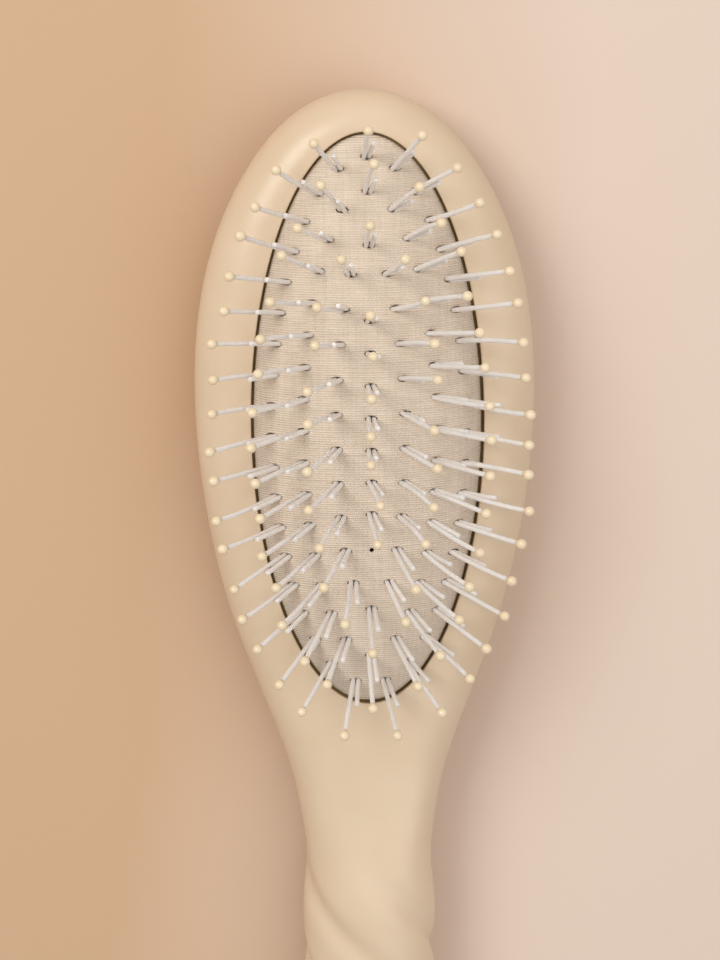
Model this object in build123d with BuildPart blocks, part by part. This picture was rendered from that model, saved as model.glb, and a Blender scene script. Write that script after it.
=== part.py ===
from build123d import *

import os
from bisect import bisect_left
from math import cos, dist, pi, radians, sin, sqrt

# Oval pneumatic cushion brush with a twisted handle, lying on its back.
# X is across the head, +Y runs towards the head's tip, +Z is the way the pins point.
# The origin is under the middle of the brush, on the surface that it lies on.
# Millimetres throughout.

# ---- Driving dimensions -------------------------------------------------------------------

total_length = 230.0
head_reach = 63.0  # from the cushion's centre to the head's tip
cushion_y = total_length / 2 - head_reach

parting_z = 11.0  # widest level, where the front and back shells meet
rim_z = 19.0  # flat front rim round the cushion
back_z = 0.0  # flat land on the back of the head

window_half_width = 22.3
window_half_length = 55.5
lip_thickness = 1.7
edge_gap = 0.55  # dark gap between the rim's lip and the fabric
dome_height = 9.5  # fabric's crown above its own edge
edge_drop = 1.1  # fabric's edge below the rim
edge_steepness = 1.06  # ellipsoid's half axis over the fabric's half axis at its edge

fabric_thickness = 0.5
membrane_thickness = 1.65
layer_clearance = 0.05
flange_half_width = 24.2
flange_half_length = 57.4
flange_thickness = 1.2
seat_clearance = 0.1

filament_radius = 0.45
leg_spacing = 1.4
fold_depth = 2.9  # from the fabric's surface down to the centre of the fold
long_leg = 16.0  # from the fabric's surface to the centre of the ball tip
short_leg = 7.5
tip_radius = 1.0
tip_socket = 0.6  # how far the leg stops short of the ball's centre
hole_radius = 1.35
anchor_radius = 0.13
anchor_length = 3.0
anchor_rise = 0.3  # anchor wire above the centre of the fold
lean_x = 0.0545  # tangent of a pin's sideways lean, for each mm off the centre line
lean_y = 0.0092

# name: half width, half length, pins, groups
pin_rings = {
    "outer": (18.4, 51.0, 39, 8),
    "middle": (12.65, 44.7, 32, 6),
    "inner": (6.5, 34.9, 22, 4),
}
ring_steps = 4000
centre_pitch = 6.15
centre_count = 7
centre_start = 21.0  # centre column's first pin, ahead of the cushion's centre
vent_y = cushion_y - 23.0
vent_radius = 0.6

lobe_count = 4
section_points = 36
twist_rate = 5.0  # degrees for each mm of handle
twist_start = -90.5  # from the cushion's centre; nearer the head the grooves run straight
twist_ease = 2.0  # how gently the twist sets in
groove_depth = 0.115  # share of the handle's radius
handle_half_width = 13.2
handle_half_height = 10.9
handle_root_half = 8.0  # handle's core where it starts inside the neck
handle_start = -66.0
handle_full = -98.0
handle_end = head_reach - total_length
handle_cap = 9.0  # rounded end
cap_share = 0.968  # how far round the end's quarter ellipse the last section is

wall = 2.4
peg_radius = 1.2
peg_height = 3.0
peg_clearance = 0.1
peg_spots = [(24.5, 31.5), (28.2, 2.0), (24.4, -30.0)]  # right-hand pegs, mirrored to the left

# ---- Shared formulas ----------------------------------------------------------------------

# The fabric's outer face is the top of an ellipsoid.
fabric_edge_z = rim_z - edge_drop
edge_fall = sqrt(1 - 1 / edge_steepness**2)
dome_half_width = (window_half_width - edge_gap) * edge_steepness
dome_half_length = (window_half_length - edge_gap) * edge_steepness
dome_half_height = dome_height / (1 - edge_fall)
dome_centre_z = fabric_edge_z - dome_half_height * edge_fall


def dome_z(x, y):
    """Height of the fabric's outer face at a point measured from the cushion's centre."""
    spread = (x / dome_half_width) ** 2 + (y / dome_half_length) ** 2
    return dome_centre_z + dome_half_height * sqrt(1 - spread)


def smooth_step(value, start, end):
    """0 at start, 1 at end, with no corner at either."""
    share = min(max((value - start) / (end - start), 0.0), 1.0)
    return share * share * (3 - 2 * share)


def pin_frame(x, y):
    """Plane of a hairpin's two legs: local X from the long leg to the short one, local Y outward."""
    outward = Vector(lean_x * x, lean_y * y, 1).normalized()
    across = (Vector(1, 0, 0) - outward * outward.X).normalized()
    return Plane(
        origin=(x, cushion_y + y, dome_z(x, y)), x_dir=across, z_dir=across.cross(outward)
    )


def ring_spots(half_width, half_length, count):
    """Evenly spaced points round an ellipse, clockwise from its tip."""
    turns = [2 * pi * step / ring_steps for step in range(ring_steps)]
    points = [(half_width * sin(turn), half_length * cos(turn)) for turn in turns]
    run = [0.0]
    for here, following in zip(points, points[1:] + points[:1]):
        run.append(run[-1] + dist(here, following))
    return [points[bisect_left(run, run[-1] * i / count)] for i in range(count)]


def grouped_pins():
    """Every pin's place, by ring and then by group. A ring's first group is centred on its tip."""
    groups = {}
    for ring, (half_width, half_length, count, group_count) in pin_rings.items():
        share = count / group_count
        for i, spot in enumerate(ring_spots(half_width, half_length, count)):
            group = int((i + share / 2) / share) % group_count
            groups.setdefault((ring, group + 1), []).append(spot)
    column = [(0.0, centre_start - centre_pitch * i) for i in range(centre_count)]
    groups[("centre", 1)] = column
    return groups


pin_groups = grouped_pins()
all_spots = [spot for spots in pin_groups.values() for spot in spots]


def closed_curve(points):
    """Smooth closed curve, with the same parameters on every section of one loft."""
    steps = len(points)
    parameters = [step / steps for step in range(steps + 1)]
    return Edge.make_spline([Vector(*point) for point in points], periodic=True, parameters=parameters)


def finish_part(part, name):
    """Label a finished piece and write its STEP file."""
    part.label = name
    export_step(part, f"parts/{name}.step")


os.makedirs("parts", exist_ok=True)

# ---- Body blank: the outer shape of head, neck and handle ---------------------------------

# Right-hand half of the outline: half width, distance ahead of the cushion's centre.
# Its last two points close the neck inside the handle.
outline_points = [
    (0.0, head_reach),
    (12.4, 58.9),
    (20.2, 51.0),
    (30.2, 29.0),
    (32.8, 2.0),
    (31.0, -18.0),
    (26.9, -37.0),
    (20.2, -56.2),
    (14.4, -74.0),
    (12.2, -90.0),
    (9.0, -100.0),
    (0.0, -106.0),
]
section_steps = 18
side_round = 9.6  # how far the front's rounding reaches in from the side
tip_round = 7.0
back_side_round = 13.0
back_tip_round = 10.0
neck_round_share = 0.72  # rounding in the slim neck, as a share of the head's
level_angles = [-90, -75, -60, -45, -30, -15, 0, 15, 30, 45, 60, 75, 90]

with BuildLine() as outline:
    Spline(*outline_points, *[(-x, y) for x, y in reversed(outline_points[1:-1])], periodic=True)
outline_edge = outline.edges()[0]


def level_points(angle):
    """Half of the horizontal section that lies at this angle round the edge's rounding."""
    if angle >= 0:
        side, tip = side_round, tip_round
    else:
        side, tip = back_side_round, back_tip_round
    points = []
    for step in range(section_steps + 1):
        at = outline_edge @ (step / section_steps / 2)
        along = outline_edge % (step / section_steps / 2)
        reach = side * along.Y**2 + tip * along.X**2
        neck = smooth_step(at.Y, -50.0, -85.0)
        reach *= (1 - cos(radians(angle))) * (1 - neck * (1 - neck_round_share))
        points.append((at.X + reach * along.Y, cushion_y + at.Y - reach * along.X))
    points[0] = (0.0, points[0][1])
    points[-1] = (0.0, points[-1][1])
    return points


def level_z(angle):
    """Height of the section at this angle: below the parting line when negative."""
    depth = rim_z - parting_z if angle >= 0 else parting_z - back_z
    return parting_z + depth * sin(radians(angle))


with BuildPart() as head_blank:
    for angle in level_angles:
        with BuildSketch(Plane.XY.offset(level_z(angle))):
            right = level_points(angle)
            left = [(-x, y) for x, y in reversed(right[1:-1])]
            with BuildLine():
                add(closed_curve(right + left))
            make_face()
    loft()


def handle_section(y):
    """Points round the twisted handle's section at this distance."""
    grown = smooth_step(y, handle_start, handle_full)
    cap = max(handle_end + handle_cap - y, 0.0) / handle_cap
    size = sqrt(1 - (cap_share * cap) ** 2)
    half_width = size * (handle_root_half + (handle_half_width - handle_root_half) * grown)
    half_height = half_width * (1 - grown * (1 - handle_half_height / handle_half_width))
    past = twist_start - y
    turn = -radians(twist_rate * (past + sqrt(past**2 + twist_ease**2)) / 2)
    points = []
    for step in range(section_points):
        angle = 2 * pi * step / section_points
        valley = ((1 + cos(lobe_count * (angle - turn))) / 2) ** 2
        inset = 1 - groove_depth * grown * valley
        points.append((half_width * inset * cos(angle), half_height * inset * sin(angle)))
    return points


shaft_pitch = 4.0
shaft_steps = round((handle_start - handle_end - handle_cap) / shaft_pitch)
shaft_stations = [handle_start - shaft_pitch * i for i in range(shaft_steps + 1)]
cap_stations = [handle_end + handle_cap * (1 - sin(radians(a))) for a in (15, 30, 45, 60, 75, 90)]

with BuildPart() as handle_blank:
    for y in shaft_stations + cap_stations:
        with BuildSketch(Plane((0, cushion_y + y, parting_z), x_dir=(1, 0, 0), z_dir=(0, -1, 0))):
            with BuildLine():
                add(closed_curve(handle_section(y)))
            make_face()
    loft()

with BuildPart() as body_blank:
    add(head_blank.part)
    add(handle_blank.part)

# ---- Front and back shells ----------------------------------------------------------------

# Hollow of the neck and handle: bays between thin webs, round in section.
bay_ends = [(-50.0, -78.0), (-80.0, -103.0), (-105.0, -129.0), (-131.0, -155.0)]
neck_bay_radius = 5.8
handle_bay_radius = 7.2
recess_top = rim_z - lip_thickness
recess_clearance = 0.3
back_recess_margin = 1.9

with BuildPart() as bays:
    for number, (near_y, far_y) in enumerate(bay_ends):
        radius = neck_bay_radius if number == 0 else handle_bay_radius
        with BuildSketch(Plane((0, cushion_y + near_y, parting_z), z_dir=(0, -1, 0))):
            Circle(radius)
        extrude(amount=near_y - far_y)

with BuildPart() as front_shell:
    add(body_blank.part)
    split(bisect_by=Plane.XY.offset(parting_z), keep=Keep.TOP)
    with BuildSketch(Plane.XY.offset(parting_z)):
        with Locations((0, cushion_y)):
            Ellipse(window_half_width, window_half_length)
    extrude(amount=rim_z, mode=Mode.SUBTRACT)
    with BuildSketch(Plane.XY.offset(parting_z)):
        with Locations((0, cushion_y)):
            Ellipse(flange_half_width + recess_clearance, flange_half_length + recess_clearance)
    extrude(amount=recess_top - parting_z, mode=Mode.SUBTRACT)
    add(bays.part, mode=Mode.SUBTRACT)
    with BuildSketch(Plane.XY.offset(parting_z)):
        for x, y in peg_spots:
            with Locations((x, cushion_y + y), (-x, cushion_y + y)):
                Circle(peg_radius + peg_clearance)
    extrude(amount=peg_height + peg_clearance, mode=Mode.SUBTRACT)
finish_part(front_shell.part, "front_shell")

with BuildPart() as back_shell:
    add(body_blank.part)
    split(bisect_by=Plane.XY.offset(parting_z), keep=Keep.BOTTOM)
    with BuildSketch(Plane.XY.offset(back_z + wall)):
        with Locations((0, cushion_y)):
            Ellipse(flange_half_width - back_recess_margin, flange_half_length - 2 * back_recess_margin)
    extrude(amount=parting_z, mode=Mode.SUBTRACT)
    add(bays.part, mode=Mode.SUBTRACT)
    with BuildSketch(Plane.XY.offset(parting_z)):
        for x, y in peg_spots:
            with Locations((x, cushion_y + y), (-x, cushion_y + y)):
                Circle(peg_radius)
    extrude(amount=peg_height)
finish_part(back_shell.part, "back_shell")

# ---- What holds the cushion: base plate with ribs, and retaining ring ---------------------

base_thickness = 2.2
base_bottom = parting_z + layer_clearance
flange_bottom = recess_top - seat_clearance - flange_thickness
ring_wall = 3.6
rib_drop = 3.5
rib_thickness = 1.4
rib_pitch = 22.0
rib_count = 5
rib_margin = 3.4
base_vent_radius = 1.5

with BuildPart() as cushion_base:
    with BuildSketch(Plane.XY.offset(base_bottom)):
        with Locations((0, cushion_y)):
            Ellipse(flange_half_width, flange_half_length)
    extrude(amount=base_thickness)
    with BuildSketch(Plane.XY.offset(base_bottom)):
        with Locations((0, cushion_y)):
            Ellipse(flange_half_width - rib_margin, flange_half_length - 2 * rib_margin)
        with BuildSketch(mode=Mode.INTERSECT):
            with Locations((0, cushion_y)):
                Rectangle(rib_thickness, 2 * flange_half_length)
                with GridLocations(rib_pitch, rib_pitch, 1, rib_count):
                    Rectangle(2 * flange_half_width, rib_thickness)
    extrude(amount=-rib_drop)
    with Locations((0, vent_y + rib_pitch / 4, base_bottom)):
        Cylinder(base_vent_radius, 4 * rib_drop, mode=Mode.SUBTRACT)
finish_part(cushion_base.part, "cushion_base")

with BuildPart() as retaining_ring:
    ring_bottom = base_bottom + base_thickness + seat_clearance
    with BuildSketch(Plane.XY.offset(ring_bottom)):
        with Locations((0, cushion_y)):
            Ellipse(flange_half_width, flange_half_length)
            Ellipse(flange_half_width - ring_wall, flange_half_length - ring_wall, mode=Mode.SUBTRACT)
    extrude(amount=flange_bottom - seat_clearance - ring_bottom)
finish_part(retaining_ring.part, "retaining_ring")

# ---- Cushion: rubber membrane and the fabric over it --------------------------------------


def dome_solid(inset):
    """The cushion's ellipsoid, drawn in by a constant amount along each half axis."""
    half_axes = (dome_half_width - inset, dome_half_length - inset, dome_half_height - inset)
    ball = scale(Sphere(1.0, mode=Mode.PRIVATE), by=half_axes, mode=Mode.PRIVATE)
    return Pos(0, cushion_y, dome_centre_z) * ball


def hole_tools(radius):
    """A round bar along every pin, for boring its hole through the cushion's layers."""
    bars = []
    for x, y in all_spots:
        frame = pin_frame(x, y)
        along = Plane(frame.origin, x_dir=frame.x_dir, z_dir=frame.y_dir)
        bars.append(along * Cylinder(radius, 4 * fold_depth, mode=Mode.PRIVATE))
    vent = Cylinder(vent_radius, 4 * fold_depth, mode=Mode.PRIVATE)
    bars.append(Pos(0, vent_y, dome_z(0, vent_y - cushion_y)) * vent)
    return bars


membrane_outer = fabric_thickness + layer_clearance
membrane_inner = membrane_outer + membrane_thickness

with BuildPart() as fabric_face:
    add(dome_solid(0.0))
    split(bisect_by=Plane.XY.offset(fabric_edge_z), keep=Keep.TOP)
    add(dome_solid(fabric_thickness), mode=Mode.SUBTRACT)
    add(hole_tools(hole_radius), mode=Mode.SUBTRACT)
finish_part(fabric_face.part, "fabric_face")

with BuildPart() as rubber_membrane:
    add(dome_solid(membrane_outer))
    split(bisect_by=Plane.XY.offset(flange_bottom), keep=Keep.TOP)
    with BuildSketch(Plane.XY.offset(flange_bottom)):
        with Locations((0, cushion_y)):
            Ellipse(flange_half_width, flange_half_length)
    extrude(amount=flange_thickness)
    add(dome_solid(membrane_inner), mode=Mode.SUBTRACT)
    add(hole_tools(hole_radius), mode=Mode.SUBTRACT)
finish_part(rubber_membrane.part, "rubber_membrane")

# ---- Pins: folded nylon filaments, their ball tips and the wires that hold their folds ----

leg_x = leg_spacing / 2
leg_top = long_leg - tip_socket


def add_hairpin(frame):
    """One filament: long leg, fold beneath the membrane, short leg up the same hole."""
    with BuildLine(frame) as path:
        Line((-leg_x, leg_top), (-leg_x, -fold_depth))
        ThreePointArc((-leg_x, -fold_depth), (0, -fold_depth - leg_x), (leg_x, -fold_depth))
        Line((leg_x, -fold_depth), (leg_x, short_leg))
    with BuildSketch(Plane(path.wire() @ 0, z_dir=path.wire() % 0)) as profile:
        Circle(filament_radius)
    sweep(sections=profile.sketch, path=path.wire())


def add_tip(frame):
    """One ball, with the blind socket that the long leg sits in."""
    along = Plane(frame.from_local_coords((-leg_x, long_leg, 0)), z_dir=frame.y_dir)
    with Locations(along):
        Sphere(tip_radius)
    with Locations(along.offset(-tip_socket)):
        Cylinder(
            filament_radius,
            2 * tip_radius,
            align=(Align.CENTER, Align.CENTER, Align.MAX),
            mode=Mode.SUBTRACT,
        )


def add_anchor(frame):
    """A short length of wire through one fold, between the two legs."""
    with Locations(Plane(frame.from_local_coords((0, anchor_rise - fold_depth, 0)), z_dir=frame.z_dir)):
        Cylinder(anchor_radius, anchor_length)


for (ring, number), spots in pin_groups.items():
    with BuildPart() as pins:
        for x, y in spots:
            add_hairpin(pin_frame(x, y))
    finish_part(pins.part, f"pins_{ring}_{number}")
    with BuildPart() as tips:
        for x, y in spots:
            add_tip(pin_frame(x, y))
    finish_part(tips.part, f"tips_{ring}_{number}")

for ring in list(pin_rings) + ["centre"]:
    with BuildPart() as anchors:
        for (group_ring, number), spots in pin_groups.items():
            if group_ring == ring:
                for x, y in spots:
                    add_anchor(pin_frame(x, y))
    finish_part(anchors.part, f"anchors_{ring}")
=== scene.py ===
from math import cos, pi, radians, sin, sqrt

import bmesh
import bpy
import numpy as np
from mathutils import Matrix, Vector
from mathutils.geometry import delaunay_2d_cdt


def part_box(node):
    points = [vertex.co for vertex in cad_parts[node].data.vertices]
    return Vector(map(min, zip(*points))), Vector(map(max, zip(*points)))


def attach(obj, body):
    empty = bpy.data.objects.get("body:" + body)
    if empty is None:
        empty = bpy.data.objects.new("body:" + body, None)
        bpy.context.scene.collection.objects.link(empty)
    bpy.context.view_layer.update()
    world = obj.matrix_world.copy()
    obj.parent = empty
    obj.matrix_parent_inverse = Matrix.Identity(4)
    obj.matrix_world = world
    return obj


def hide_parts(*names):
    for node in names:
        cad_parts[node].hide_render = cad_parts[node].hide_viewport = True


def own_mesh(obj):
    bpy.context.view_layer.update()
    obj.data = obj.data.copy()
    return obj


# Looks of an oval cushion brush with a twisted handle.
# Shapes are worked out in millimetres: x and y from the cushion's centre, z from the surface
# that the brush lies on. make_mesh() turns them into metres in the CAD frame.

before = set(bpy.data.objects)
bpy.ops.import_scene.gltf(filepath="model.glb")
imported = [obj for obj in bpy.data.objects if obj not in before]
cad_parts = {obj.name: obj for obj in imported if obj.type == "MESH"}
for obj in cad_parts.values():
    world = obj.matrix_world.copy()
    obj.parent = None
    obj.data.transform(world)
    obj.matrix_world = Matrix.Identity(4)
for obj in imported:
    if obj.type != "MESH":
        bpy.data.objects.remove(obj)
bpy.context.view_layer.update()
random = np.random.default_rng(11)

MM = 0.001
fabric_low, fabric_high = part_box("fabric_face")
front_low, front_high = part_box("front_shell")
cushion_place = Vector((0, (fabric_low.y + fabric_high.y) / 2, 0))

# ---- Sizes, in millimetres ----------------------------------------------------------------

parting_z = round(front_low.z / MM, 2)  # where the front and back shells meet
edge_drop = 1.1
fabric_edge_z = round(fabric_low.z / MM, 2)
rim_z = fabric_edge_z + edge_drop
crown_z = round(fabric_high.z / MM, 2)
fabric_half_width = round((fabric_high.x - fabric_low.x) / 2 / MM, 2)
fabric_half_length = round((fabric_high.y - fabric_low.y) / 2 / MM, 2)
edge_gap = 0.55
window_half_width = fabric_half_width + edge_gap
window_half_length = fabric_half_length + edge_gap
handle_end = round((front_low.y - cushion_place.y) / MM, 1)

# Dome: the top of an ellipsoid whose half axes are a little more than the fabric's.
edge_steepness = 1.06
edge_fall = sqrt(1 - 1 / edge_steepness**2)
dome_half_width = fabric_half_width * edge_steepness
dome_half_length = fabric_half_length * edge_steepness
dome_half_height = (crown_z - fabric_edge_z) / (1 - edge_fall)
dome_centre_z = fabric_edge_z - dome_half_height * edge_fall

# Pins: half width and half length of each ring, pins and groups on it.
pin_rings = {
    "outer": (18.4, 51.0, 39, 8),
    "middle": (12.65, 44.7, 32, 6),
    "inner": (6.5, 34.9, 22, 4),
}
centre_pitch = 6.15
centre_count = 7
centre_start = 21.0
lean_x = 0.0545  # tangent of a pin's sideways lean, for each mm off the centre line
lean_y = 0.0092
filament_radius = 0.46
fold_depth = 2.9
fold_half_width = 0.52
tip_offset = 0.7  # ball tip's distance to the side of its hole's centre
long_leg = 16.0
short_leg = 7.4
tip_radius = 1.0
vent_y = -23.0


def dome_z(x, y):
    """Height of the fabric's outer face."""
    spread = (x / dome_half_width) ** 2 + (y / dome_half_length) ** 2
    return dome_centre_z + dome_half_height * np.sqrt(np.maximum(1 - spread, 0.0))


def smooth_step(value, start, end):
    """0 at start, 1 at end, with no corner at either."""
    share = np.clip((value - start) / (end - start), 0.0, 1.0)
    return share * share * (3 - 2 * share)


# ---- Mesh helpers -------------------------------------------------------------------------


def make_mesh(name, points, faces, smooth=True):
    """A mesh object from points in millimetres, measured from the cushion's centre."""
    mesh = bpy.data.meshes.new(name)
    placed = [Vector(point) * MM + cushion_place for point in points]
    mesh.from_pydata(placed, [], faces)
    mesh.validate()
    mesh.polygons.foreach_set("use_smooth", [smooth] * len(mesh.polygons))
    mesh.update()
    made = bpy.data.objects.new(name, mesh)
    bpy.context.scene.collection.objects.link(made)
    return made


def apply_modifiers(piece):
    """Replace a piece's mesh by the one that its modifiers make."""
    bpy.context.view_layer.update()
    graph = bpy.context.evaluated_depsgraph_get()
    mesh = bpy.data.meshes.new_from_object(piece.evaluated_get(graph))
    piece.modifiers.clear()
    piece.data = mesh


def weld(piece, distance):
    """Join vertices closer than distance, in millimetres."""
    modifier = piece.modifiers.new("weld", "WELD")
    modifier.merge_threshold = distance * MM
    apply_modifiers(piece)


def thicken(piece, thickness):
    """Give a surface its thickness, in millimetres, on its inner side."""
    modifier = piece.modifiers.new("wall", "SOLIDIFY")
    modifier.thickness = thickness * MM
    modifier.offset = -1.0
    modifier.use_even_offset = True
    modifier.use_quality_normals = True
    modifier.thickness_clamp = 0.0
    apply_modifiers(piece)


def sharpen(piece, angle):
    """Smooth shading, with edges sharper than angle, in degrees, left as creases."""
    modifier = piece.modifiers.new("creases", "EDGE_SPLIT")
    modifier.split_angle = radians(angle)


def grid_faces(rows, columns, start=0, flip=False):
    """Quads between rows of points that follow each other."""
    faces = []
    for row in range(rows - 1):
        for column in range(columns - 1):
            a = start + row * columns + column
            quad = (a, a + 1, a + columns + 1, a + columns)
            faces.append(quad[::-1] if flip else quad)
    return faces


# ---- Material helpers ---------------------------------------------------------------------


def linear(red, green, blue):
    """Scene colour of an sRGB colour given as 0 to 255."""
    return tuple(((c / 255 + 0.055) / 1.055) ** 2.4 if c > 10 else c / 255 / 12.92 for c in (red, green, blue))


def new_material(name, colour, roughness):
    """A material with its node tree and shader."""
    material = bpy.data.materials.new(name)
    material.use_nodes = True
    tree = material.node_tree
    shader = tree.nodes["Principled BSDF"]
    shader.inputs["Base Color"].default_value = (*colour, 1)
    shader.inputs["Roughness"].default_value = roughness
    return material, tree, shader


def place_in(tree):
    """Coordinates on the object itself, in metres."""
    return tree.nodes.new("ShaderNodeTexCoord").outputs["Object"]


def noise(tree, coordinates, size, detail=2.0, stretch=(1, 1, 1)):
    """Noise whose spots are about size millimetres across."""
    mapping = tree.nodes.new("ShaderNodeMapping")
    mapping.inputs["Scale"].default_value = stretch
    tree.links.new(coordinates, mapping.inputs["Vector"])
    texture = tree.nodes.new("ShaderNodeTexNoise")
    texture.inputs["Scale"].default_value = 1 / (size * MM)
    texture.inputs["Detail"].default_value = detail
    tree.links.new(mapping.outputs["Vector"], texture.inputs["Vector"])
    return texture.outputs["Fac"]


def maths(tree, operation, first, second=0.0, third=None):
    """A Math node on sockets or numbers."""
    made = tree.nodes.new("ShaderNodeMath")
    made.operation = operation
    for socket, value in zip(made.inputs, (first, second, third)):
        if value is None:
            continue
        if isinstance(value, (int, float)):
            socket.default_value = value
        else:
            tree.links.new(value, socket)
    return made.outputs["Value"]


def ramp(tree, factor, stops):
    """Colour ramp with (position, colour) stops."""
    made = tree.nodes.new("ShaderNodeValToRGB")
    elements = made.color_ramp.elements
    while len(elements) < len(stops):
        elements.new(0.5)
    for element, (position, colour) in zip(elements, stops):
        element.position = position
        element.color = (*colour, 1)
    tree.links.new(factor, made.inputs["Fac"])
    return made.outputs["Color"]


def span(tree, factor, low, high):
    """Map a 0 to 1 factor onto low to high."""
    made = tree.nodes.new("ShaderNodeMapRange")
    made.inputs["To Min"].default_value = low
    made.inputs["To Max"].default_value = high
    tree.links.new(factor, made.inputs["Value"])
    return made.outputs["Result"]


def bump(tree, shader, height, depth):
    """Bump from a 0 to 1 height; depth is in millimetres."""
    made = tree.nodes.new("ShaderNodeBump")
    made.inputs["Strength"].default_value = 1.0
    made.inputs["Distance"].default_value = depth * MM
    tree.links.new(height, made.inputs["Height"])
    tree.links.new(made.outputs["Normal"], shader.inputs["Normal"])


def moulded_plastic(name, light, dark, roughness, speckle=0.35):
    """Satin moulded plastic: faint clouding, fine orange peel, slightly uneven gloss."""
    material, tree, shader = new_material(name, light, roughness)
    coordinates = place_in(tree)
    clouds = noise(tree, coordinates, 18.0)
    colour = ramp(tree, clouds, [(0.3, dark), (0.7, light)])
    tree.links.new(colour, shader.inputs["Base Color"])
    gloss = noise(tree, coordinates, 3.0, detail=4.0)
    tree.links.new(span(tree, gloss, roughness - 0.05, roughness + 0.06), shader.inputs["Roughness"])
    bump(tree, shader, noise(tree, coordinates, speckle, detail=1.0), 0.006)
    return material, shader


def woven_fabric(name, light, dark, thread_pitch):
    """Plain weave with raised ribs along X, slubs along the threads and a dusty sheen."""
    material, tree, shader = new_material(name, light, 0.92)
    coordinates = place_in(tree)
    wander = noise(tree, coordinates, 9.0)
    split = tree.nodes.new("ShaderNodeSeparateXYZ")
    tree.links.new(coordinates, split.inputs["Vector"])
    turns = 1 / (thread_pitch * MM)
    row = maths(tree, "MULTIPLY_ADD", split.outputs["Y"], turns, wander)
    column = maths(tree, "MULTIPLY_ADD", split.outputs["X"], turns * 0.9, wander)
    parity = maths(tree, "MULTIPLY", maths(tree, "FLOOR", row), 0.5)
    rib = maths(tree, "MULTIPLY_ADD", maths(tree, "COSINE", maths(tree, "MULTIPLY", row, 2 * pi)), -0.5, 0.5)
    shifted = maths(tree, "ADD", column, parity)
    cross = maths(
        tree, "MULTIPLY_ADD", maths(tree, "COSINE", maths(tree, "MULTIPLY", shifted, 2 * pi)), 0.5, 0.5
    )
    weave = maths(tree, "MULTIPLY", rib, maths(tree, "MULTIPLY_ADD", cross, 0.4, 0.6))
    slub = noise(tree, coordinates, 2.4, detail=3.0, stretch=(0.25, 5.0, 1.0))
    warp = noise(tree, coordinates, 2.4, detail=3.0, stretch=(5.0, 0.25, 1.0))
    thread = maths(tree, "MULTIPLY_ADD", slub, 0.55, maths(tree, "MULTIPLY", warp, 0.45))
    tone = maths(tree, "MULTIPLY_ADD", weave, 0.5, maths(tree, "MULTIPLY_ADD", thread, 1.1, -0.3))
    colour = ramp(tree, tone, [(0.05, dark), (0.75, light)])
    tree.links.new(colour, shader.inputs["Base Color"])
    height = maths(tree, "MULTIPLY_ADD", thread, 0.6, weave)
    bump(tree, shader, height, 0.16)
    shader.inputs["Sheen Weight"].default_value = 0.25
    shader.inputs["Sheen Roughness"].default_value = 0.5
    shader.inputs["Specular IOR Level"].default_value = 0.25
    return material


def rubber(name, light, dark):
    """Matt rubber with a fine skin."""
    material, tree, shader = new_material(name, light, 0.7)
    coordinates = place_in(tree)
    tree.links.new(
        ramp(tree, noise(tree, coordinates, 4.0, detail=3.0), [(0.3, dark), (0.7, light)]),
        shader.inputs["Base Color"],
    )
    bump(tree, shader, noise(tree, coordinates, 0.25), 0.02)
    return material


def nylon(name, light, dark):
    """Translucent drawn nylon: fine lines along its length show as faint clouding."""
    material, tree, shader = new_material(name, light, 0.3)
    coordinates = place_in(tree)
    streaks = noise(tree, coordinates, 1.2, detail=3.0, stretch=(1.0, 1.0, 0.25))
    tree.links.new(ramp(tree, streaks, [(0.3, dark), (0.7, light)]), shader.inputs["Base Color"])
    tree.links.new(span(tree, streaks, 0.24, 0.4), shader.inputs["Roughness"])
    shader.inputs["Transmission Weight"].default_value = 0.12
    shader.inputs["Subsurface Weight"].default_value = 0.5
    shader.inputs["Subsurface Radius"].default_value = (1.0, 0.9, 0.85)
    shader.inputs["Subsurface Scale"].default_value = 1.2 * MM
    shader.inputs["IOR"].default_value = 1.53
    return material


def drawn_wire(name, colour):
    """Plain steel wire with a drawn finish."""
    material, tree, shader = new_material(name, colour, 0.3)
    coordinates = place_in(tree)
    tree.links.new(
        span(tree, noise(tree, coordinates, 0.3, detail=3.0), 0.22, 0.42), shader.inputs["Roughness"]
    )
    shader.inputs["Metallic"].default_value = 1.0
    return material


def floor_with_painted_shade(name, light, dark):
    """Matt board with a faint mottle, and painted shade that makes it warmer and darker towards one side."""
    material, tree, shader = new_material(name, light, 0.85)
    coordinates = place_in(tree)
    split = tree.nodes.new("ShaderNodeSeparateXYZ")
    tree.links.new(coordinates, split.inputs["Vector"])
    # Painted shade: the colour falls off along X, from the light colour to the dark one, standing in for shade
    # on that side.
    across = maths(tree, "MULTIPLY_ADD", split.outputs["X"], 7.0, 0.16)
    mottle_and_painted_shade = maths(tree, "MULTIPLY_ADD", noise(tree, coordinates, 160.0), 0.7, across)
    tree.links.new(ramp(tree, mottle_and_painted_shade, [(0.2, dark), (0.85, light)]), shader.inputs["Base Color"])
    bump(tree, shader, noise(tree, coordinates, 2.0, detail=6.0), 0.03)
    return material


body_satin, body_shader = moulded_plastic("body_satin", linear(226, 204, 176), linear(221, 198, 168), 0.34)
body_shader.inputs["Subsurface Weight"].default_value = 0.12
body_shader.inputs["Subsurface Radius"].default_value = (1.0, 0.6, 0.35)
body_shader.inputs["Subsurface Scale"].default_value = 1.5 * MM
inner_plastic, _ = moulded_plastic("inner_plastic", linear(150, 134, 104), linear(140, 124, 96), 0.5)
tip_bead, tip_shader = moulded_plastic("tip_bead", linear(240, 222, 190), linear(234, 214, 180), 0.22)
tip_shader.inputs["Coat Weight"].default_value = 0.3
cushion_rubber = rubber("cushion_rubber", linear(168, 146, 100), linear(156, 134, 90))
cushion_fabric = woven_fabric("cushion_fabric", linear(246, 230, 212), linear(214, 195, 172), 0.45)
filament = nylon("filament", linear(253, 248, 244), linear(246, 238, 232))
anchor_wire = drawn_wire("anchor_wire", linear(198, 196, 192))


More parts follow.
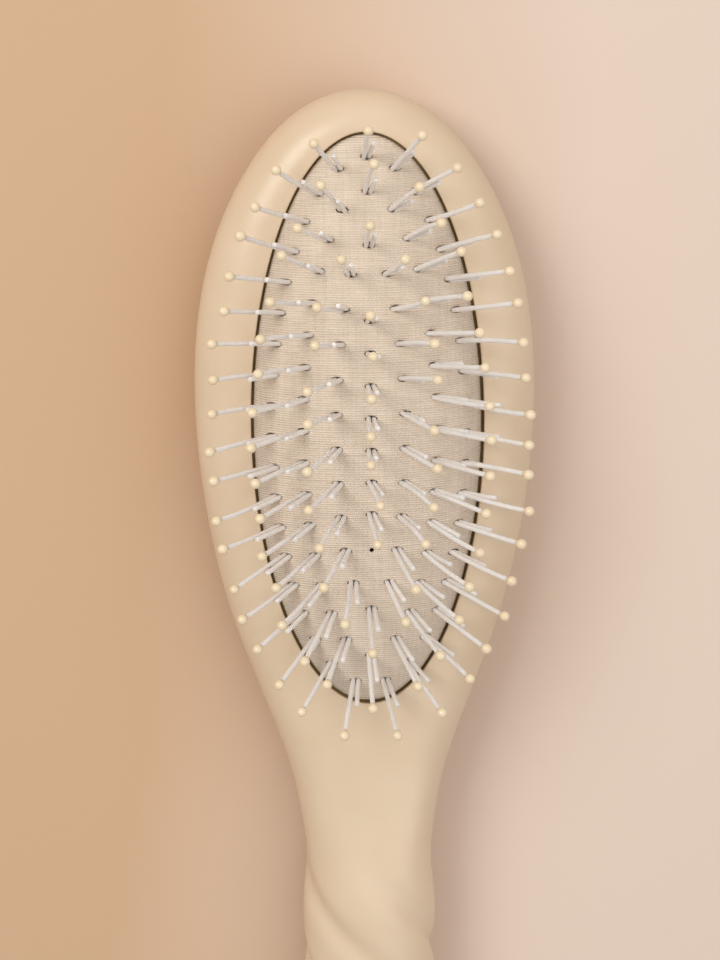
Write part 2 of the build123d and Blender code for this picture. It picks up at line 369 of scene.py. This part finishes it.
def finish_piece(piece, body, material, slot, *nodes):
    """Give a piece its material, the body that it rides on and the CAD nodes that it stands for."""
    piece.data.materials.clear()
    piece.data.materials.append(material)
    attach(piece, body)
    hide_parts(*nodes)


# ---- Body skins: head, neck and twisted handle --------------------------------------------

# Right-hand half of the outline: half width, distance ahead of the cushion's centre.
# Its last two points close the neck inside the handle.
outline_points = [
    (0.0, 63.0),
    (12.4, 58.9),
    (20.2, 51.0),
    (30.2, 29.0),
    (32.8, 2.0),
    (31.0, -18.0),
    (26.9, -37.0),
    (20.2, -56.2),
    (14.4, -74.0),
    (12.2, -90.0),
    (9.0, -100.0),
    (0.0, -106.0),
]
front_rounds = (9.6, 7.0)  # how far the front's rounding reaches in: at the sides, at the tip
back_rounds = (13.0, 10.0)
neck_round_share = 0.72
lobe_count = 4
handle_half_width = 13.2
handle_half_height = 10.9
groove_depth = 0.09  # share of the handle's radius
groove_sharpness = 3.0
twist_rate = 5.0  # degrees for each mm of handle
twist_start = -90.5
twist_ease = 2.0  # mm over which the twist sets in
handle_starts = -76.0
handle_full = -100.0
handle_cap = 9.0
seam_depth = 0.12
lip_round = 0.3
lip_wall = 1.6
shell_wall = 1.7


def closed_spline(points, count):
    """Evenly spaced parameters on the smooth closed curve through the points."""
    knots = np.array(points)
    following = np.roll(knots, -1, axis=0)
    steps = np.linalg.norm(following - knots, axis=1)
    before = np.roll(steps, 1)
    size = len(knots)
    system = np.diag(2 * (before + steps))
    for i in range(size):
        system[i, i - 1] += before[i]
        system[i, (i + 1) % size] += steps[i]
    slopes = (following - knots) / steps[:, None]
    bends = np.linalg.solve(system, 6 * (slopes - np.roll(slopes, 1, axis=0)))
    at = np.linspace(0, steps.sum(), count, endpoint=False)
    starts = np.concatenate([[0], np.cumsum(steps)])
    piece = np.clip(np.searchsorted(starts, at, side="right") - 1, 0, size - 1)
    h = steps[piece][:, None]
    far = (starts[piece + 1] - at)[:, None]
    near = (at - starts[piece])[:, None]
    m0, m1 = bends[piece], bends[(piece + 1) % size]
    p0, p1 = knots[piece], following[piece]
    cubic = (m0 * far**3 + m1 * near**3) / (6 * h)
    return cubic + (p0 / h - m0 * h / 6) * far + (p1 / h - m1 * h / 6) * near


outline = closed_spline(outline_points + [(-x, y) for x, y in reversed(outline_points[1:-1])], 4000)
outline_tangent = np.roll(outline, -1, axis=0) - np.roll(outline, 1, axis=0)
outline_tangent /= np.linalg.norm(outline_tangent, axis=1)[:, None]
right_half = outline[: len(outline) // 2 + 1]


def outline_half_width(y):
    """Half width of the head and neck, from the outline."""
    return np.interp(-y, -right_half[:, 1], np.maximum(right_half[:, 0], 0.0))


def edge_profile(x, y, rounds):
    """Share of the head's depth at points inside the outline: 0 at the edge, 1 past the rounding."""
    side, tip = rounds
    shares = np.zeros(len(x))
    for i, point in enumerate(np.stack([x, y], axis=1)):
        nearest = int(np.argmin(((outline - point) ** 2).sum(1)))
        away = 1e9
        for first in (nearest - 1, nearest):
            a = outline[first]
            run = outline[(first + 1) % len(outline)] - a
            t = np.clip((point - a) @ run / (run @ run), 0, 1)
            away = min(away, np.linalg.norm(point - a - t * run))
        along = outline_tangent[nearest]
        neck = smooth_step(outline[nearest][1], -50.0, -85.0)
        reach = (side * along[1] ** 2 + tip * along[0] ** 2) * (1 - neck * (1 - neck_round_share))
        shares[i] = sqrt(1 - np.clip((reach - away) / reach, 0, 1) ** 2)
    return shares


def handle_point(angle, y):
    """Points on the twisted handle's surface at angles round its axis, at each distance."""
    cap = np.clip((handle_end + handle_cap - y) / handle_cap, 0, 1)
    size = np.sqrt(1 - cap**2)
    past = twist_start - y
    turn = -np.radians(twist_rate) * (past + np.sqrt(past**2 + twist_ease**2)) / 2
    valley = ((1 + np.cos(lobe_count * (angle - turn))) / 2) ** groove_sharpness
    inset = size * (1 - groove_depth * valley)
    return handle_half_width * inset * np.cos(angle), handle_half_height * inset * np.sin(angle)


def half_skin(stations, shares, side, face, inner_half_width):
    """Rows of points from the parting line to the middle or the window, for one quarter of the body."""
    rounds = front_rounds if face > 0 else back_rounds
    depth = rim_z - parting_z if face > 0 else parting_z
    y, share = np.meshgrid(stations, shares, indexing="ij")
    inner = inner_half_width[:, None]
    width = np.maximum(outline_half_width(stations)[:, None], inner)
    x_head = inner + (width - inner) * np.cos(share * pi / 2)
    x_head[:, -1] = inner_half_width
    lift = edge_profile(x_head.ravel(), y.ravel(), rounds).reshape(y.shape)
    lift[:, 0] = 0.0
    angle = share * pi / 2 if side > 0 else pi - share * pi / 2
    x_handle, z_handle = handle_point(angle * face, y)
    blend = smooth_step(y, handle_starts, handle_full)
    x = (1 - blend) * side * x_head + blend * x_handle
    z = parting_z + (1 - blend) * face * depth * lift + blend * z_handle
    edge = np.stack([x[:, 0], y[:, 0]], axis=1)
    along = np.gradient(edge, axis=0)
    along /= np.maximum(np.linalg.norm(along, axis=1), 1e-9)[:, None]
    x[:, 0] += seam_depth * side * along[:, 1]
    y[:, 0] -= seam_depth * side * along[:, 0]
    x[[0, -1], :] = 0.0
    return np.stack([x, y, z], axis=2)


window_turns = np.radians(np.linspace(90, -90, 91))
window_edge = window_half_length + lip_round
tip_turns = np.radians(np.linspace(0, 86, 22))
head_tip = outline_points[0][1]
tip_stations = head_tip - (head_tip - window_edge) * (1 - np.cos(tip_turns)) / (1 - cos(tip_turns[-1]))
neck_steps = np.concatenate([[0.15, 0.3, 0.5, 0.7], np.full(200, 0.9)])
neck_stations = -window_edge - np.cumsum(neck_steps)
neck_stations = neck_stations[neck_stations > handle_end + handle_cap]
cap_stations = handle_end + handle_cap * (1 - np.sin(np.radians(np.linspace(0, 90, 19))))
stations = np.concatenate([tip_stations[:-1], window_edge * np.sin(window_turns), neck_stations, cap_stations])
window_rows = slice(len(tip_stations) - 1, len(tip_stations) - 1 + len(window_turns))
window_inner = np.zeros(len(stations))
window_inner[window_rows] = (window_half_width + lip_round) * np.cos(window_turns)
section_shares = np.concatenate([[0.0, 0.013, 0.02], np.linspace(0.05, 1.0, 30)])


def lip_rows():
    """The window's edge: a small rounding and a wall down, as rings of points."""
    right = [(cos(t), sin(t)) for t in window_turns]
    left = [(-cos(t), sin(t)) for t in window_turns[-2:0:-1]]
    spots = np.array(right + left)
    x = (window_half_width + lip_round) * spots[:, 0]
    y = (window_half_length + lip_round) * spots[:, 1]
    lift = edge_profile(x, y, front_rounds)
    tops = parting_z + (rim_z - parting_z) * lift
    rows = []
    for lean in (0, 30, 60, 90):
        rows.append((lip_round * (1 - sin(radians(lean))), tops - lip_round * (1 - cos(radians(lean)))))
    rows.append((0.0, tops - lip_wall))
    rings = []
    for out, heights in rows:
        x, y = (window_half_width + out) * spots[:, 0], (window_half_length + out) * spots[:, 1]
        rings.append([tuple(point) for point in np.stack([x, y, heights], axis=1)])
    return rings


def body_skin(name, face, inner):
    """Front or back skin as a surface, before it is given its thickness."""
    points, faces = [], []
    for side in (1, -1):
        rows = half_skin(stations, section_shares, side, face, inner)
        faces += grid_faces(len(stations), len(section_shares), len(points), flip=side * face < 0)
        points += [tuple(point) for row in rows for point in row]
    if face > 0:
        rings = lip_rows()
        count = len(rings[0])
        for number in range(len(rings) - 1):
            start = len(points) + number * count
            for i in range(count):
                j = (i + 1) % count
                faces.append((start + i, start + j, start + count + j, start + count + i))
        points += [point for ring in rings for point in ring]
    return make_mesh(name, points, faces)


def turn_outward(piece, face):
    """The same way round for every face: up on the front, down on the back."""
    work = bmesh.new()
    work.from_mesh(piece.data)
    bmesh.ops.recalc_face_normals(work, faces=work.faces)
    if sum(polygon.normal.z * polygon.calc_area() for polygon in work.faces) * face < 0:
        bmesh.ops.reverse_faces(work, faces=work.faces)
    work.to_mesh(piece.data)
    work.free()


front_skin = body_skin("front_skin", 1, window_inner)
weld(front_skin, 0.004)
turn_outward(front_skin, 1)
thicken(front_skin, shell_wall)
finish_piece(front_skin, "root", body_satin, "body_satin", "front_shell")
back_skin = body_skin("back_skin", -1, np.zeros(len(stations)))
weld(back_skin, 0.004)
turn_outward(back_skin, -1)
thicken(back_skin, shell_wall)
finish_piece(back_skin, "root", body_satin, "body_satin", "back_shell")

# ---- Pins: where they stand ---------------------------------------------------------------


def ring_spots(half_width, half_length, count):
    """Evenly spaced points on an ellipse, clockwise from its tip."""
    turns = np.linspace(0, 2 * pi, 4001)
    x, y = half_width * np.sin(turns), half_length * np.cos(turns)
    run = np.concatenate([[0], np.cumsum(np.hypot(np.diff(x), np.diff(y)))])
    at = run[-1] * np.arange(count) / count
    return list(zip(np.interp(at, run, x), np.interp(at, run, y)))


def grouped_pins():
    """Every pin's place, by group name. The first group of a ring is centred on the tip."""
    groups = {}
    for ring, (half_width, half_length, count, group_count) in pin_rings.items():
        share = count / group_count
        for i, spot in enumerate(ring_spots(half_width, half_length, count)):
            number = int((i + share / 2) / share) % group_count + 1
            groups.setdefault(f"{ring}_{number}", []).append(spot)
    groups["centre_1"] = [(0.0, centre_start - centre_pitch * i) for i in range(centre_count)]
    return groups


pin_groups = grouped_pins()
all_spots = [spot for spots in pin_groups.values() for spot in spots]

# ---- Cushion: woven face and rubber membrane ----------------------------------------------

hole_steps = 20
edge_steps = 300
cell = 0.9  # pitch of the points between the holes
vent_hole = (0.4, 0.4)
fabric_hole = (1.12, 0.58)  # half width and half length
membrane_hole = (1.06, 0.52)


def ellipse_points(x, y, half_width, half_length, count):
    """Points round an ellipse, counter-clockwise from its right-hand end."""
    turns = [2 * pi * i / count for i in range(count)]
    return [(x + half_width * cos(t), y + half_length * sin(t)) for t in turns]


def cushion_layer(name, drop, inset, hole, dimple, skirt):
    """A domed layer with a hole for every pin. hole is half its width and half its length;
    dimple is how far the hole's rim is drawn down; skirt is (outset, height) rings past the edge."""
    half_width, half_length = fabric_half_width - inset, fabric_half_length - inset
    spots = [(x, y, hole) for x, y in all_spots] + [(0.0, vent_y, vent_hole)]
    edge = ellipse_points(0, 0, half_width, half_length, edge_steps)
    points, drops = list(edge), [0.0] * edge_steps
    edges = [(i, (i + 1) % edge_steps) for i in range(edge_steps)]
    for x, y, (a, b) in spots:
        for grow, sink in ((0.0, dimple), (0.16, dimple * 0.45), (0.42, dimple * 0.1)):
            start = len(points)
            points += ellipse_points(x, y, a + grow, b + grow, hole_steps)
            drops += [sink] * hole_steps
            if grow == 0.0:
                edges += [(start + i, start + (i + 1) % hole_steps) for i in range(hole_steps)]
    rows = int(half_length / (cell * 0.866)) + 1
    columns = int(half_width / cell) + 1
    centres = np.array([(x, y) for x, y, _ in spots])
    reach = np.array([(a + 0.75, b + 0.75) for _, _, (a, b) in spots])
    for row in range(-rows, rows + 1):
        for column in range(-columns, columns + 1):
            x, y = (column + row % 2 / 2) * cell, row * cell * 0.866
            if (x / (half_width - 0.5)) ** 2 + (y / (half_length - 0.5)) ** 2 < 1:
                if (((np.array((x, y)) - centres) / reach) ** 2).sum(1).min() > 1:
                    points.append((x, y))
                    drops.append(0.0)
    flat, _, triangles, *_ = delaunay_2d_cdt([Vector(p) for p in points], edges, [], 0, 1e-6)
    flat = np.array([tuple(p) for p in flat])
    heights = dome_z(flat[:, 0], flat[:, 1]) - drop
    heights[: len(drops)] -= np.array(drops)
    middles = flat[np.array(triangles)].mean(axis=1)
    bored = np.zeros(len(middles), bool)
    for x, y, (a, b) in spots:
        bored |= ((middles[:, 0] - x) / a) ** 2 + ((middles[:, 1] - y) / b) ** 2 < 1
    kept = [tuple(t) for t, gone in zip(triangles, bored) if not gone]
    solid = [(x, y, z) for (x, y), z in zip(flat, heights)]
    ring = list(range(edge_steps))
    for outset, height in skirt:
        start = len(solid)
        outer = ellipse_points(0, 0, half_width + outset, half_length + outset, edge_steps)
        solid += [(x, y, height) for x, y in outer]
        for i in range(edge_steps):
            j = (i + 1) % edge_steps
            kept.append((ring[i], start + i, start + j, ring[j]))
        ring = list(range(start, start + edge_steps))
    return make_mesh(name, solid, kept)


fabric_skirt = [(0.05, fabric_edge_z - 0.35)]
woven_face = cushion_layer("woven_face", 0.0, 0.0, fabric_hole, 0.22, fabric_skirt)
thicken(woven_face, 0.4)
finish_piece(woven_face, "root", cushion_fabric, "cushion_fabric", "fabric_face")

flange_top = 17.2
membrane_skirt = [(0.12, flange_top), (2.35, flange_top)]
membrane_skin = cushion_layer("membrane_skin", 0.62, 0.35, membrane_hole, 0.18, membrane_skirt)
thicken(membrane_skin, 1.1)
finish_piece(membrane_skin, "root", cushion_rubber, "cushion_rubber", "rubber_membrane")

for layer, anchor_node in ((woven_face, "fabric_face"), (membrane_skin, "rubber_membrane")):
    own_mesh(layer)

# ---- Pins ---------------------------------------------------------------------------------

tube_sides = 12
bead_overlap = 0.5  # from the filament's end to its ball's centre


def pin_matrix(x, y):
    """Frame of one pin, with small leans and turns of its own: X from long leg to short leg, Z outward."""
    outward = Vector((lean_x * x, lean_y * y, 1)).normalized()
    across = (Vector((1, 0, 0)) - outward * outward.x).normalized()
    matrix = Matrix((across, outward.cross(across), outward)).transposed()
    lean_across, lean_along = np.clip(random.normal(0, 0.034, 2), -0.07, 0.07)
    turn = random.normal(0, 0.16)
    own = Matrix.Rotation(lean_across, 3, "Y") @ Matrix.Rotation(lean_along, 3, "X")
    matrix = matrix @ own @ Matrix.Rotation(turn, 3, "Z")
    return matrix, Vector((x, y, float(dome_z(x, y))))


def hairpin_line():
    """Middle line of a folded filament from its ball tip to its blunt end, in the pin's own frame."""
    bow, short_spread, short_bow = random.normal((0.0, 0.33, 0.0), (0.28, 0.16, 0.12))
    short_height = short_leg + random.normal(0, 0.35)
    line = []
    for share in np.linspace(1, 0, 17):
        z = -fold_depth + (long_leg - bead_overlap + fold_depth) * share
        rise = max(z, 0.0) / long_leg
        x = -fold_half_width - (tip_offset - fold_half_width) * rise
        line.append(Vector((x, bow * sin(pi * rise) * 0.6, z)))
    for angle in np.linspace(0, pi, 7)[1:-1]:
        line.append(
            Vector((-fold_half_width * cos(angle), 0, -fold_depth - fold_half_width * sin(angle)))
        )
    for share in np.linspace(0, 1, 10):
        z = -fold_depth + (short_height + fold_depth) * share
        rise = max(z, 0.0) / short_height
        line.append(Vector((fold_half_width + short_spread * rise**1.4, short_bow * rise**2, z)))
    return line


def tube(line, radius):
    """A round tube along a line that stays near one plane, with its far end blunt and rounded."""
    points, faces = [], []
    for step in (0.06, 0.04):
        line = line + [line[-1] + (line[-1] - line[-2]).normalized() * step]
    for i, centre in enumerate(line):
        along = (line[min(i + 1, len(line) - 1)] - line[max(i - 1, 0)]).normalized()
        first = (Vector((0, 1, 0)) - along * along.y).normalized()
        second = along.cross(first)
        ring = radius * (0.93 if i == len(line) - 2 else 0.72 if i == len(line) - 1 else 1.0)
        for side in range(tube_sides):
            angle = 2 * pi * side / tube_sides
            points.append(centre + (first * cos(angle) + second * sin(angle)) * ring)
    for i in range(len(line) - 1):
        for side in range(tube_sides):
            following = (side + 1) % tube_sides
            a, b = i * tube_sides, (i + 1) * tube_sides
            faces.append((a + side, a + following, b + following, b + side))
    faces.append(tuple(range(tube_sides))[::-1])
    faces.append(tuple(range((len(line) - 1) * tube_sides, len(line) * tube_sides)))
    return points, faces


def bead(centre, along, radius):
    """A ball tip: a drop of lacquer, nearly round, with a short collar down the filament."""
    first = (Vector((0, 1, 0)) - along * along.y).normalized()
    second = along.cross(first)
    rings, sides = 11, 18
    profile = [(radius * 0.97 * cos(radians(a)), radius * sin(radians(a))) for a in np.linspace(80, -52, rings)]
    profile.append((radius * 0.5, -radius * 0.98))
    profile.append((filament_radius * 0.98, -radius * 1.22))
    points = [centre + along * radius * 0.985]
    for out, up in profile:
        for side in range(sides):
            angle = 2 * pi * side / sides
            points.append(centre + (first * cos(angle) + second * sin(angle)) * out + along * up)
    faces = [(0, 1 + (side + 1) % sides, 1 + side) for side in range(sides)]
    faces = [face[::-1] for face in faces]
    for ring in range(len(profile) - 1):
        a, b = 1 + ring * sides, 1 + (ring + 1) * sides
        for side in range(sides):
            following = (side + 1) % sides
            faces.append((a + side, b + side, b + following, a + following))
    last = 1 + (len(profile) - 1) * sides
    faces.append(tuple(range(last, last + sides))[::-1])
    return points, faces


def add_to(points, faces, more_points, more_faces):
    """Append one closed mesh to the points and faces of a larger one."""
    start = len(points)
    points += more_points
    faces += [tuple(start + i for i in face) for face in more_faces]


for group, spots in pin_groups.items():
    ring, number = group.split("_")
    filament_points, filament_faces, bead_points, bead_faces = [], [], [], []
    for x, y in spots:
        turned, foot = pin_matrix(x, y)
        line = hairpin_line()
        points, faces = tube(line, filament_radius)
        add_to(filament_points, filament_faces, [foot + turned @ point for point in points], faces)
        end_direction = (line[0] - line[1]).normalized()
        centre = line[0] + end_direction * bead_overlap
        radius = tip_radius * (1 + random.normal(0, 0.025))
        points, faces = bead(centre, end_direction, radius)
        add_to(bead_points, bead_faces, [foot + turned @ point for point in points], faces)
    body = f"{ring}_group_{number}"
    hairpins = make_mesh(f"hairpins_{group}", filament_points, filament_faces)
    finish_piece(hairpins, body, filament, "filament", f"pins_{group}")
    sharpen(hairpins, 50)
    beads = make_mesh(f"beads_{group}", bead_points, bead_faces)
    finish_piece(beads, body, tip_bead, "tip_bead", f"tips_{group}")

# ---- CAD pieces that keep their own shape -------------------------------------------------

kept_nodes = {
    "cushion_base": inner_plastic,
    "retaining_ring": inner_plastic,
    "anchors_centre": anchor_wire,
    "anchors_inner": anchor_wire,
    "anchors_middle": anchor_wire,
    "anchors_outer": anchor_wire,
}
for name, material in kept_nodes.items():
    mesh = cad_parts[name].data
    mesh.materials.clear()
    mesh.materials.append(material)

# ---- Floor, lights and camera -------------------------------------------------------------


def make_floor():
    """A flat board under the brush, a hair below it so that the two don't share a plane."""
    half = 1.5
    mesh = bpy.data.meshes.new("floor")
    corners = [(-half, -half, 0), (half, -half, 0), (half, half, 0), (-half, half, 0)]
    mesh.from_pydata(corners, [], [(0, 1, 2, 3)])
    made = bpy.data.objects.new("floor", mesh)
    made.location.z = -0.05 * MM
    bpy.context.scene.collection.objects.link(made)
    # The second colour is the painted shade on the floor's darker side.
    made.data.materials.append(floor_with_painted_shade("floor_with_painted_shade", linear(226, 206, 190), linear(207, 172, 138)))
    return made


make_floor()
focus = Vector((0, cushion_place.y, rim_z * MM))


def area_light(name, place, size, power, colour):
    """A square soft light at a place measured from the cushion, turned towards it."""
    data = bpy.data.lights.new(name, "AREA")
    data.shape = "SQUARE"
    data.size = size
    data.energy = power
    data.color = colour
    made = bpy.data.objects.new(name, data)
    made.location = focus + Vector(place)
    made.rotation_mode = "QUATERNION"
    made.rotation_quaternion = (-Vector(place)).to_track_quat("-Z", "Y")
    bpy.context.scene.collection.objects.link(made)


area_light("key", (-0.5, 0.4, 0.72), 0.45, 4.6, (1.0, 0.98, 0.95))
area_light("fill", (0.45, -0.05, 0.9), 1.1, 3.9, (1.0, 0.98, 0.97))
area_light("top", (0.1, 0.8, 0.6), 0.7, 1.0, (1.0, 0.98, 0.97))

world = bpy.data.worlds.new("studio")
world.use_nodes = True
world.node_tree.nodes["Background"].inputs["Color"].default_value = (1.0, 0.97, 0.94, 1)
world.node_tree.nodes["Background"].inputs["Strength"].default_value = 0.4
bpy.context.scene.world = world

view_distance = 0.5
view_pitch = radians(11.0)
view_yaw = radians(-4.0)
view_roll = radians(-0.45)
view_height = 182.9 * MM  # height of the picture at the cushion's rim
picture_shift = (-1.562, -10.67)  # how far the picture's middle is from the cushion's, at the rim

back = Vector((sin(view_yaw) * cos(view_pitch), sin(view_pitch), cos(view_yaw) * cos(view_pitch)))
camera_data = bpy.data.cameras.new("camera")
camera = bpy.data.objects.new("camera", camera_data)
camera.location = focus + back * view_distance
camera.rotation_mode = "QUATERNION"
up = (Vector((0, 1, 0)) - back * back.y).normalized()
right = up.cross(back)
turned_right = cos(view_roll) * right + sin(view_roll) * up
turned_up = back.cross(turned_right)
camera.rotation_quaternion = Matrix((turned_right, turned_up, back)).transposed().to_quaternion()
camera_data.sensor_width = 36.0
camera_data.lens = camera_data.sensor_width * view_distance / view_height
camera_data.shift_x = picture_shift[0] * MM / view_height
camera_data.shift_y = picture_shift[1] * MM / view_height
camera_data.clip_start = 0.01
camera_data.clip_end = 20.0
bpy.context.scene.collection.objects.link(camera)
bpy.context.scene.camera = camera
bpy.context.scene.view_settings.view_transform = "Standard"
